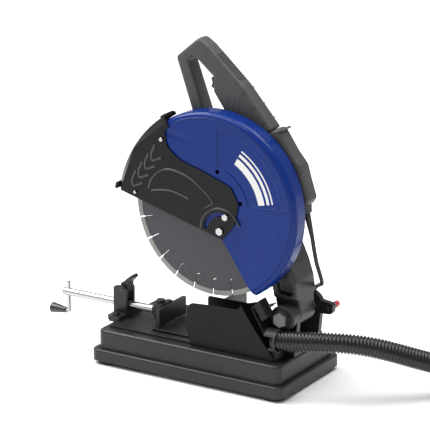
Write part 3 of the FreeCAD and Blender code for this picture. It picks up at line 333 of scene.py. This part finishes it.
# ---- Power cord ----------------------------------------------------------------------------
# A rubber-sheathed lead of 8 mm.  It drops from the strain relief behind the handle, passes
# behind the arm and over the far edge of the base, and its spare length is wound flat.
cord_radius = 0.004
cord_route = [(18, 236, 268), (9, 240, 240), (-10, 236, 215), (-34, 222, 200), (-56, 204, 190),
              (-73, 187, 177), (-83, 172, 158), (-93, 156, 138), (-104, 140, 116), (-117, 125, 93),
              (-130, 111, 68), (-141, 96, 42), (-150, 78, 20), (-156, 54, 6.5), (-160, 28, 4.3)]
relief_way = Vector((0, 0.25, -0.968))
relief_end = at(19, 213, 374) + relief_way * 0.0639
lead = [relief_end] + [at(*p) for p in cord_route]
wound = at(-161 - 52, 4, 4.2)
winding = ((52, 44, 0, 0), (44, 36, 0, 0), (36, 36, 0, 1), (36, 44, 1, 1), (44, 52, 1, 1), (52, 52, 1, 2),
           (52, 44, 2, 2))
per_turn = 16
cord_stretch = 1.02
layer_rise = 0.0082
for first, last, level, next_level in winding:
    for i in range(per_turn):
        share = i / per_turn
        reach = (first + (last - first) * share) / 1000 * cord_stretch
        turn = -2 * math.pi * share
        climb = (level + (next_level - level) * share) * layer_rise
        lead.append(wound + Vector((math.cos(turn) * reach, math.sin(turn) * reach, climb)))
tail = [(45, 0, 20.6), (47, -24, 20.6), (46, -50, 20.2), (38, -71, 19.4), (27, -80.2, 18.7),
        (15.5, -80.5, 18.7)]
lead += [at(-213 + x, 4 + y, z) for x, y, z in tail]
cord_step = 0.003
cord_line = spaced(line_points("cord_line", lead, 16), cord_step)
cord_length = length_of(cord_line)
cord = tube("power_cord", cord_line, lambda i: cord_radius, 14)
sheath = Finish("cord_rubber", rough=0.55)
sheath.feed(Base_Color=sheath.blend(sheath.noise(90.0), (0.014, 0.014, 0.014), (0.024, 0.024, 0.024)),
            Roughness=sheath.noise(40.0) * 0.25 + 0.42)
sheath.onto(cord)
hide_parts("cord_upper", "cord_lower", "cord_coil")
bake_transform(cord)
sheath.onto("plug", "strain_relief")

# ---- Base ----------------------------------------------------------------------------------
# The base is one pressure casting with a stepped skirt, powder coated in satin black.  It
# stands on four moulded rubber feet, each held by a screw from below.
body_of = {node: body for body, held in frame["record"]["behaviour"]["bodies"].items() for node in held}


def stand_for(piece, *nodes):
    """The piece joins the body of the first CAD node, and the CAD nodes are hidden so that it stands in
    their place.
    """
    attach(piece, body_of[nodes[0]])
    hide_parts(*nodes)


def finish_edges(piece, width, segments):
    """Round every sharp edge of the piece and shade its flats flat."""
    bpy.ops.object.select_all(action="DESELECT")
    bpy.context.view_layer.objects.active = piece
    piece.select_set(True)
    bpy.ops.object.shade_smooth_by_angle(angle=math.radians(35))
    bevel = piece.modifiers.new("edges", "BEVEL")
    bevel.width = width
    bevel.segments = segments
    bevel.limit_method = "ANGLE"
    bevel.angle_limit = math.radians(38)
    bpy.ops.object.modifier_apply(modifier=bevel.name)
    weigh = piece.modifiers.new("weigh", "WEIGHTED_NORMAL")
    weigh.keep_sharp = True
    bpy.ops.object.modifier_apply(modifier=weigh.name)


def eased(node, width, finish, segments=2):
    """A copy of a CAD node with its facets merged, its sharp edges rounded and a finish."""
    piece = bpy.data.objects.new(node + "_shape", cad[node].data.copy())
    bpy.context.scene.collection.objects.link(piece)
    bpy.ops.object.select_all(action="DESELECT")
    bpy.context.view_layer.objects.active = piece
    piece.select_set(True)
    bpy.ops.mesh.customdata_custom_splitnormals_clear()
    bpy.ops.object.mode_set(mode="EDIT")
    bpy.ops.mesh.select_all(action="SELECT")
    bpy.ops.mesh.remove_doubles(threshold=0.000002)
    bpy.ops.mesh.dissolve_limited(angle_limit=math.radians(0.6))
    bpy.ops.object.mode_set(mode="OBJECT")
    finish_edges(piece, width, segments)
    finish.onto(piece)
    stand_for(piece, node)
    return piece


def powder_coat(name, dark, light, rough, peel, specular=0.35):
    """Powder coat or moulded plastic: a fine orange peel and a colour that drifts a little."""
    coat = Finish(name, rough=rough, specular=specular)
    drift = coat.noise(14.0, 4.0)
    coat.feed(Base_Color=coat.blend(drift, dark, light),
              Roughness=coat.noise(30.0, 3.0) * 0.22 + (rough - 0.11))
    coat.bump(coat.noise(1400.0, 1.0), peel, 0.3)
    return coat


casting_paint = powder_coat("casting_paint", (0.011, 0.011, 0.012), (0.020, 0.020, 0.021), 0.36, 0.0002, 0.4)
rubber = powder_coat("foot_rubber", (0.010, 0.010, 0.010), (0.017, 0.017, 0.017), 0.75, 0.0004)
eased("base_casting", 0.0009, casting_paint, 3)
eased("rubber_feet", 0.0015, rubber, 3)

# ---- Bed and fence -------------------------------------------------------------------------
# The bed is a blacked steel plate, planed along its length and slotted for the blade.  The
# cast fence with its two ribs is bolted across it.
bed_black = Finish("bed_black", rough=0.42, metal=0.6)
planed = bed_black.add("ShaderNodeTexNoise", {},
                       {"Vector": bed_black.place(scale=(900, 40, 40)), "Scale": 1.0, "Detail": 3.0})
bed_black.feed(Base_Color=bed_black.blend(planed, (0.020, 0.020, 0.021), (0.045, 0.045, 0.047)),
               Roughness=planed * 0.25 + 0.3)
bed_black.bump(planed, 0.0001, 0.4)
eased("bed_plate", 0.0006, bed_black)
eased("fence", 0.0012, casting_paint)

# ---- Dust hood -----------------------------------------------------------------------------
# Two bent steel sheets stand either side of the blade, with a sloping back between them, a
# rubber flap on a wing screw and a plastic port for the hose.
sheet_paint = powder_coat("sheet_paint", (0.006, 0.006, 0.0065), (0.010, 0.010, 0.0105), 0.42, 0.00012, 0.17)
for wall in ("hood_near_plate", "hood_far_plate", "hood_back"):
    eased(wall, 0.0004, sheet_paint)
eased("hood_wing_screw", 0.0005, sheet_paint)
eased("hood_flap", 0.0008, rubber)
moulded = powder_coat("moulded_plastic", (0.026, 0.026, 0.027), (0.038, 0.038, 0.039), 0.48, 0.00035, 0.4)
eased("hose_port", 0.0006, moulded)
eased("hose_cuff", 0.0015, moulded, 3)

# ---- Hinge ---------------------------------------------------------------------------------
# A cast bracket carries the arm on one long zinc-plated bolt with a wound steel spring round
# it.  A spring pin with a red plastic knob locks the arm down for carrying.


def turned_metal(name, colour, rough, along, spread=0.7):
    """Bare or plated metal, with fine marks that run round the axis numbered along."""
    metal = Finish(name, rough=rough, metal=1.0)
    stretch = [40.0, 40.0, 40.0]
    stretch[along] = 1500.0
    marks = metal.add("ShaderNodeTexNoise", {},
                      {"Vector": metal.place(scale=stretch), "Scale": 1.0, "Detail": 3.0})
    cloud = metal.noise(45.0, 3.0)
    darker = tuple(c * spread for c in colour)
    metal.feed(Base_Color=metal.blend(marks * 0.6 + cloud * 0.4, darker, colour),
               Roughness=marks * 0.2 + cloud * 0.15 + (rough - 0.15))
    metal.bump(marks, 0.00015, 0.25)
    return metal


zinc = turned_metal("zinc_plate", (0.50, 0.50, 0.49), 0.36, 0)
eased("hinge_bracket", 0.0013, casting_paint, 3)
bolt_steel = turned_metal("bolt_steel", (0.16, 0.16, 0.16), 0.4, 0)
eased("hinge_bolt", 0.0012, bolt_steel, 3)
zinc.onto("return_spring", "lock_pin")
red = Finish("red_plastic", rough=0.3, coat=0.3)
red.feed(Base_Color=red.blend(red.noise(80.0), (0.50, 0.03, 0.02), (0.64, 0.05, 0.03)))
eased("lock_pin_knob", 0.0005, red)
black_steel = turned_metal("black_steel", (0.10, 0.10, 0.105), 0.42, 2)
eased("base_fasteners", 0.0005, black_steel)

# ---- Vise ----------------------------------------------------------------------------------
# A cast guide and a swivelling cast jaw, on a bright ground screw.  The crank is bent from
# bright rod and turns in a tapered gloss knob, and a cast lever holds the half-nut.
bright = turned_metal("ground_steel", (0.62, 0.62, 0.62), 0.26, 1, 0.7)
eased("vise_block", 0.001, casting_paint)
eased("jaw_plate", 0.001, casting_paint)
eased("jaw_carrier", 0.0008, casting_paint)
eased("half_nut_lever", 0.001, casting_paint)
bright.onto("vise_screw", "crank_rod")
knob_black = Finish("knob_plastic", rough=0.2, coat=0.5)
knob_black.feed(Base_Color=knob_black.blend(knob_black.noise(70.0), (0.008, 0.008, 0.008),
                                            (0.015, 0.015, 0.015)),
                Roughness=knob_black.noise(40.0) * 0.15 + 0.14)
knob_black.onto("crank_knob")

# ---- Gear housing and motor ----------------------------------------------------------------
# The gear housing is a black-painted casting.  The motor's barrel and end cap are moulded in
# glass-filled plastic round a laminated stator, and a white fan blows through the slots.
arm_paint = powder_coat("arm_paint", (0.016, 0.016, 0.017), (0.026, 0.026, 0.027), 0.38, 0.0002, 0.45)
eased("gear_housing", 0.0012, arm_paint)
eased("motor_housing", 0.0006, moulded)
eased("motor_end_cap", 0.0006, moulded)
laminated = turned_metal("laminated_steel", (0.35, 0.35, 0.36), 0.4, 0)
laminated.onto("stator", "motor_armature")
zinc.onto("motor_pinion", "drive_gear", "ball_bearings", "spindle_shaft")
fan_white = Finish("fan_plastic", rough=0.5)
fan_white.feed(Base_Color=fan_white.blend(fan_white.noise(60.0), (0.55, 0.55, 0.52), (0.66, 0.66, 0.63)))
fan_white.onto("cooling_fan")
carbon = powder_coat("carbon", (0.015, 0.015, 0.015), (0.03, 0.03, 0.03), 0.6, 0.0002)
carbon.onto("carbon_brushes")

# ---- Blade ---------------------------------------------------------------------------------
# The steel disc is ground, so fine rings run round it, and darkened by heat treatment.  The
# diamond segments are sintered metal, brazed on round the rim and left rough.
blade_low, blade_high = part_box("blade_core")
blade_middle = (blade_low + blade_high) / 2
disc = Finish("disc_steel", rough=0.5, metal=0.75)
away = disc.add("ShaderNodeVectorMath", {"operation": "LENGTH"}, {0: disc.place(blade_middle)}, 1)
rings = disc.add("ShaderNodeTexNoise", {"noise_dimensions": "1D"},
                 {"W": away * 900.0, "Scale": 1.0, "Detail": 2.0})
bloom = disc.noise(9.0, 4.0)
disc.feed(Base_Color=disc.blend(rings * 0.5 + bloom * 0.5, (0.046, 0.046, 0.051), (0.098, 0.098, 0.106)),
          Roughness=rings * 0.2 + bloom * 0.15 + 0.32)
disc.bump(rings, 0.00012, 0.35)
disc.onto("blade_core")
sintered = Finish("sintered_segment", rough=0.7, metal=0.6)
grit = sintered.noise(2500.0, 3.0)
sintered.feed(Base_Color=sintered.blend(grit, (0.22, 0.21, 0.20), (0.40, 0.39, 0.37)),
              Roughness=grit * 0.2 + 0.55)
sintered.bump(grit, 0.0004, 0.5)
eased("blade_segments", 0.0003, sintered)
eased("blade_flanges", 0.0006, zinc)
eased("arbor_bolt", 0.0006, zinc)

# ---- Blade guard ---------------------------------------------------------------------------
# The upper guard is deep-drawn steel in gloss blue, with a sunk panel and a bead pressed in
# its face and three plain bands printed on the panel.  A flat plate closes its back.
guard_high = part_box("blade_guard")[1]
blue_face = 82.0
blue_axis = (37.0, 354.0)
guard_middle = at(0, *blue_axis)
blue = Finish("blue_paint", rough=0.3, coat=0.15, coat_rough=0.06, specular=0.14)
spot = blue.place(guard_middle)
split = blue.add("ShaderNodeSeparateXYZ", {}, {"Vector": spot})
across = Flow(blue, split.socket.node.outputs[1])
rise = Flow(blue, split.socket.node.outputs[2])
out = (across * across + rise * rise) ** 0.5
bearing = rise.maths("ARCTAN2", rise, across)


def ramp(finish, value, start, end):
    """0 below start and 1 above end, with a soft step between them."""
    return finish.add("ShaderNodeMapRange", {"interpolation_type": "SMOOTHSTEP"},
                      {"Value": value, "From Min": start, "From Max": end})


panel = (ramp(blue, across, 0.016, 0.020) * ramp(blue, out, 0.086, 0.091)
         * (1 - ramp(blue, out, 0.160, 0.168)) * ramp(blue, rise, 0.016, 0.021))
bead = ramp(blue, out, 0.1765, 0.1785) * (1 - ramp(blue, out, 0.1785, 0.1805))
swoosh = ((1 - ramp(blue, rise.maths("ABSOLUTE", rise - 0.124 + across * 0.15), 0.002, 0.010))
          * (1 - ramp(blue, across, -0.080, -0.030)))
face_only = Flow(blue, split.socket.node.outputs[0]).above(guard_high.x - 0.003)
bands = 0.0
for inner, outer in ((0.112, 0.126), (0.131, 0.137), (0.142, 0.145)):
    bands = bands + out.above(inner) * (1 - out.above(outer))
printed = bands * bearing.above(math.radians(12)) * (1 - bearing.above(math.radians(60))) * face_only
paint = blue.blend(blue.noise(10.0, 3.0), (0.002, 0.020, 0.155), (0.004, 0.026, 0.185))
blue.feed(Base_Color=blue.blend(printed, paint, (0.74, 0.74, 0.72)),
          Roughness=blue.noise(35.0, 3.0) * 0.12 + 0.2)
blue.bump(bead * 0.5 - panel * 0.7 - swoosh * 0.5 + blue.noise(500.0, 1.0) * 0.001, 0.0035, 1.0)
blue.onto("blade_guard", "guard_back_plate")


def join(name, pieces):
    """One piece made of several."""
    bpy.ops.object.select_all(action="DESELECT")
    for piece in pieces:
        piece.select_set(True)
    bpy.context.view_layer.objects.active = pieces[0]
    bpy.ops.object.join()
    pieces[0].name = name
    return pieces[0]


def pressed_line(face, places, radius, sink=0.5):
    """A pressed bead on a flat face at x = face, through (y, z) places, in millimetres."""
    line = line_points("bead_line", [at(face - sink, y, z) for y, z in places], 8)
    return tube("pressed_bead", spaced(line, 0.003), lambda i: radius / 1000, 12)


def on_guard(radius, degrees):
    """The (y, z) place at a radius and an angle about the guard's axis."""
    angle = math.radians(degrees)
    return blue_axis[0] + radius * math.cos(angle), blue_axis[1] + radius * math.sin(angle)


panel_edge = [on_guard(164, degrees) for degrees in range(10, 81, 5)]
panel_edge += [(55, 514), (55, 480), (55, 450)]
panel_edge += [on_guard(88, degrees) for degrees in range(72, 17, -6)]
panel_edge += [(125, 372.5), (150, 372.5), (190, 372.5), panel_edge[0]]
lower_edge = [on_guard(164, degrees) for degrees in range(-50, -14, 6)]
lower_edge += [(194, 328), (172, 330), (156, 328), (150, 320), (149, 296), (146, 268), (142, 240)]
blue_pressing = join("blade_guard_pressing", [pressed_line(blue_face, panel_edge, 2.4, 1.7),
                                              pressed_line(blue_face, lower_edge, 2.4, 1.7)])
blue.onto(blue_pressing)
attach(blue_pressing, body_of["blade_guard"])

# ---- Front guard ---------------------------------------------------------------------------
# The swinging guard is pressed from thinner steel in satin black, with a sloped rim, raised
# chevrons, a raised outline and a raised ring round its slot.  A rubber buffer caps each end.
guard_paint = powder_coat("guard_paint", (0.006, 0.006, 0.0065), (0.010, 0.010, 0.0105), 0.32, 0.00015, 0.19)
eased("front_guard", 0.0005, guard_paint)
eased("front_guard_bolts", 0.0006, bright)
face_x = 85.2
swing = (64.0, 314.0)
beads = []
for step in range(4):
    y = -84 - 14.7 * step
    z = 463.8 - 19.2 * step
    chevron = [(y, z), (y - 8, z - 14), (y - 9, z - 22), (y - 7, z - 32), (y - 3, z - 31), (y + 17, z - 22)]
    beads.append(pressed_line(face_x, chevron, 2.6))
outer_outline = [(-99, 375), (-97, 388), (-88, 402), (-76, 413), (-56, 421), (-28, 418), (-5, 410),
                 (22, 394), (49, 369), (44, 365), (29, 355)]
beads.append(pressed_line(face_x, outer_outline, 2.2))
beads.append(pressed_line(face_x, [(-95, 371), (-63, 378), (-33, 376), (-5, 366)], 1.6))
slot_ring = []
for degrees in range(20, 186, 15):
    angle = math.radians(degrees)
    slot_ring.append((swing[0] + 45 * math.cos(angle), swing[1] + 45 * math.sin(angle)))
beads.append(pressed_line(face_x, slot_ring, 2.0))


def slab(name, size, centre, turn=0.0, ease=0.001):
    """A rounded block: size and centre in millimetres, turned about X by degrees."""
    bpy.ops.object.select_all(action="DESELECT")
    bpy.ops.mesh.primitive_cube_add(size=1.0, location=at(*centre), rotation=(math.radians(turn), 0, 0),
                                    scale=[s / 1000 for s in size])
    piece = bpy.context.active_object
    piece.name = name
    bpy.ops.object.transform_apply(location=True, rotation=True, scale=True)
    finish_edges(piece, ease, 3)
    return piece


pressing = join("front_guard_beads", beads)
# The beads are the same black paint as the guard, but this copy has a lighter colour: a painted highlight
# for the bead edges catching the lamps, along with a glossier finish.
bead_highlight_paint = powder_coat("bead_highlight_paint", (0.014, 0.014, 0.0145), (0.022, 0.022, 0.0225), 0.28, 0.0001, 0.7)
bead_highlight_paint.onto(pressing)
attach(pressing, "front_guard")
buffers = []
for degrees, depth in ((122.4, 34.0), (167.4, 22.0)):
    angle = math.radians(degrees)
    buffers.append(slab("buffer", (depth, 6, 13), (82 - depth / 2, swing[0] + 247 * math.cos(angle),
                                                   swing[1] + 247 * math.sin(angle)), degrees, 0.002))
buffer = join("guard_buffers", buffers)
rubber.onto(buffer)
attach(buffer, "front_guard")
rivets = []
for y, z, radius in ((-68.6, 477.8, 4.2), (-129.7, 362.7, 3.2)):
    bpy.ops.object.select_all(action="DESELECT")
    bpy.ops.mesh.primitive_cylinder_add(vertices=24, radius=radius / 1000, depth=0.004,
                                        location=at(face_x + 2.2, y, z), rotation=(0, math.radians(90), 0))
    rivet = bpy.context.active_object
    bpy.ops.object.transform_apply(location=True, rotation=True, scale=True)
    finish_edges(rivet, 0.0013, 4)
    rivets.append(rivet)
rivet = join("guard_rivets", rivets)
bright.onto(rivet)
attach(rivet, "front_guard")

# ---- Arm -----------------------------------------------------------------------------------
# The arm is cast with a recess in its near side, painted satin black, and turns on two
# pressed-in bronze bushes.


def softened(name, nodes, voxel, passes, finish):
    """CAD nodes as one moulded or cast form: remeshed, then smoothed until its edges are round."""
    copies = []
    for node in nodes:
        copy = bpy.data.objects.new(name, cad[node].data.copy())
        bpy.context.scene.collection.objects.link(copy)
        copies.append(copy)
    bpy.ops.object.select_all(action="DESELECT")
    for copy in copies:
        copy.select_set(True)
    piece = copies[0]
    bpy.context.view_layer.objects.active = piece
    if len(copies) > 1:
        bpy.ops.object.join()
    piece.name = name
    bpy.ops.mesh.customdata_custom_splitnormals_clear()
    remesh = piece.modifiers.new("remesh", "REMESH")
    remesh.mode = "VOXEL"
    remesh.voxel_size = voxel
    bpy.ops.object.modifier_apply(modifier=remesh.name)
    smooth = piece.modifiers.new("smooth", "SMOOTH")
    smooth.factor = 0.5
    smooth.iterations = passes
    bpy.ops.object.modifier_apply(modifier=smooth.name)
    bpy.ops.object.shade_smooth()
    finish.onto(piece)
    stand_for(piece, *nodes)
    return piece


softened("arm_form", ["arm_casting"], 0.0018, 6, arm_paint)
bronze = turned_metal("bronze", (0.62, 0.42, 0.2), 0.35, 0)
bronze.onto("arm_bushes")
eased("arm_fasteners", 0.0004, zinc)

# ---- Handle --------------------------------------------------------------------------------
# Two plastic shells, screwed together from the far side, make the D handle.  The grip has
# ribs across its back and raised outlines moulded on its sides.
grip_plastic = powder_coat("grip_plastic", (0.046, 0.046, 0.047), (0.062, 0.062, 0.063), 0.5, 0.0004, 0.4)
softened("handle_form", ["handle_near_shell", "handle_far_shell"], 0.0017, 26, grip_plastic)
softened("lower_form", ["lower_shell"], 0.0016, 40, grip_plastic)
for small in ("trigger", "lock_button", "cord_gland"):
    eased(small, 0.0008, grip_plastic)
vent_metal = turned_metal("vent_trim", (0.5, 0.5, 0.52), 0.3, 1)
vent_metal.onto("vent_rings")
ribs = []
for step in range(13):
    share = step / 12
    ribs.append(slab("rib", (24, 2.2, 2.6), (19, 24 + 48 * share, 645.5 - 42.5 * share), -41.5, 0.0006))
for y, z, tilt, width in ((152, 508, 29, 44), (182, 448, 33, 43), (193, 427, 25, 41), (200, 404, 20, 42),
                          (206, 384, 17, 42)):
    ribs.append(slab("collar", (35.5, width, 4.5), (19, y, z), tilt, 0.0022))
outlines = []
for x, sink in ((38.0, -0.0004), (0.0, 0.0004)):
    for places in ([(4, 650), (14, 648), (40, 625), (68, 599), (72, 588), (62, 586), (34, 610),
                    (6, 636), (0, 645), (4, 650)],
                   [(88, 586), (80, 574), (76, 560), (74, 546), (76, 530)],
                   [(112, 558), (103, 546), (98, 532), (97, 516)],
                   [(134, 532), (126, 522), (122, 508)],
                   [(56, 572), (50, 560), (56, 548), (64, 552), (68, 566)]):
        line = line_points("outline", [at(x + sink * 1000, y, z) for y, z in places], 8)
        outlines.append(tube("outline", spaced(line, 0.003), lambda i: 0.0011, 8))
grip_detail = join("grip_ribs", ribs + outlines)
grip_plastic.onto(grip_detail)
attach(grip_detail, "arm")
